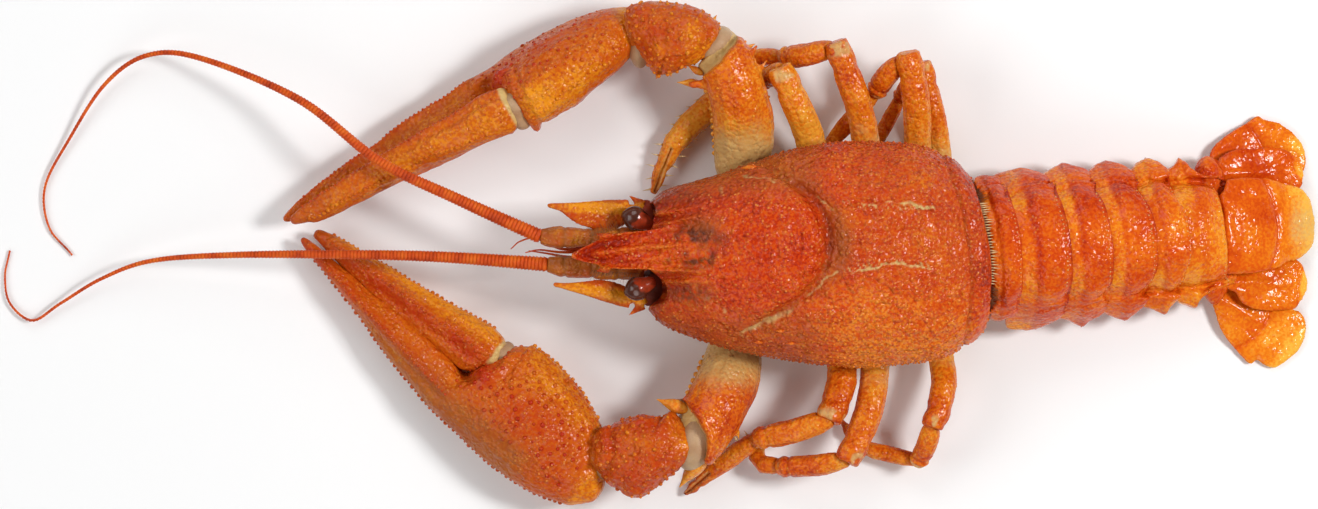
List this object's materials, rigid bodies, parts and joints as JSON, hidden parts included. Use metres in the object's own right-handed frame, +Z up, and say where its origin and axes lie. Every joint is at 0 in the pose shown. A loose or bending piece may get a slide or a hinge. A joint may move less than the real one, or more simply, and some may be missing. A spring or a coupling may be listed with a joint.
{
  "type": "cooked crayfish",
  "caption": "Whole boiled crayfish lying on its belly with its claws forward, long feelers and a spread tail fan, to serve as food.",
  "frame": {"origin": "on the table under the middle of the whole outline, feelers included", "axes": "+X from the head to the tail, +Y to the animal's right side, +Z up through its back"},
  "size_m": [0.2308, 0.0881, 0.031],
  "materials": {
    "carapace_shell": "satin mottled shell",
    "underside": "matt pale shell",
    "eye": "glossy",
    "head_limb": "satin shell",
    "antenna": "satin ringed shell",
    "tail_shell": "glossy shell",
    "tail_fan": "glossy wet shell",
    "claw_shell": "satin knobbly shell",
    "leg_shell": "satin shell"
  },
  "bodies": {
    "root": {"carapace": "carapace_shell", "belly": "underside", "right_mouth_limb": "underside", "left_mouth_limb": "underside", "right_eye": "eye", "left_eye": "eye", "right_antenna_scale": "head_limb", "right_antenna_base": "head_limb", "left_antenna_scale": "head_limb", "left_antenna_base": "head_limb", "right_antenna_whip": "antenna", "left_antenna_whip": "antenna", "tail_ring_1": "tail_shell", "tail_ring_2": "tail_shell", "tail_ring_3": "tail_shell", "tail_ring_4": "tail_shell", "tail_ring_5": "tail_shell", "tail_ring_6": "tail_shell", "telson": "tail_fan", "right_inner_plate": "tail_fan", "right_outer_plate": "tail_fan", "left_inner_plate": "tail_fan", "left_outer_plate": "tail_fan", "right_claw_palm": "claw_shell", "right_claw_finger": "claw_shell", "left_claw_palm": "claw_shell", "left_claw_finger": "claw_shell", "right_arm_wrist": "claw_shell", "left_arm_wrist": "claw_shell", "right_arm_upper": "leg_shell", "left_arm_upper": "leg_shell", "right_leg_1_thigh": "leg_shell", "right_leg_1_shin": "leg_shell", "right_leg_1_foot": "leg_shell", "right_leg_2_thigh": "leg_shell", "right_leg_2_shin": "leg_shell", "right_leg_2_foot": "leg_shell", "right_leg_3_thigh": "leg_shell", "right_leg_3_shin": "leg_shell", "right_leg_3_foot": "leg_shell", "right_leg_4_thigh": "leg_shell", "right_leg_4_shin": "leg_shell", "right_leg_4_foot": "leg_shell", "left_leg_1_thigh": "leg_shell", "left_leg_1_shin": "leg_shell", "left_leg_1_foot": "leg_shell", "left_leg_2_thigh": "leg_shell", "left_leg_2_shin": "leg_shell", "left_leg_2_foot": "leg_shell", "left_leg_3_thigh": "leg_shell", "left_leg_3_shin": "leg_shell", "left_leg_3_foot": "leg_shell", "left_leg_4_thigh": "leg_shell", "left_leg_4_shin": "leg_shell", "left_leg_4_foot": "leg_shell"}
  },
  "joints": []
}
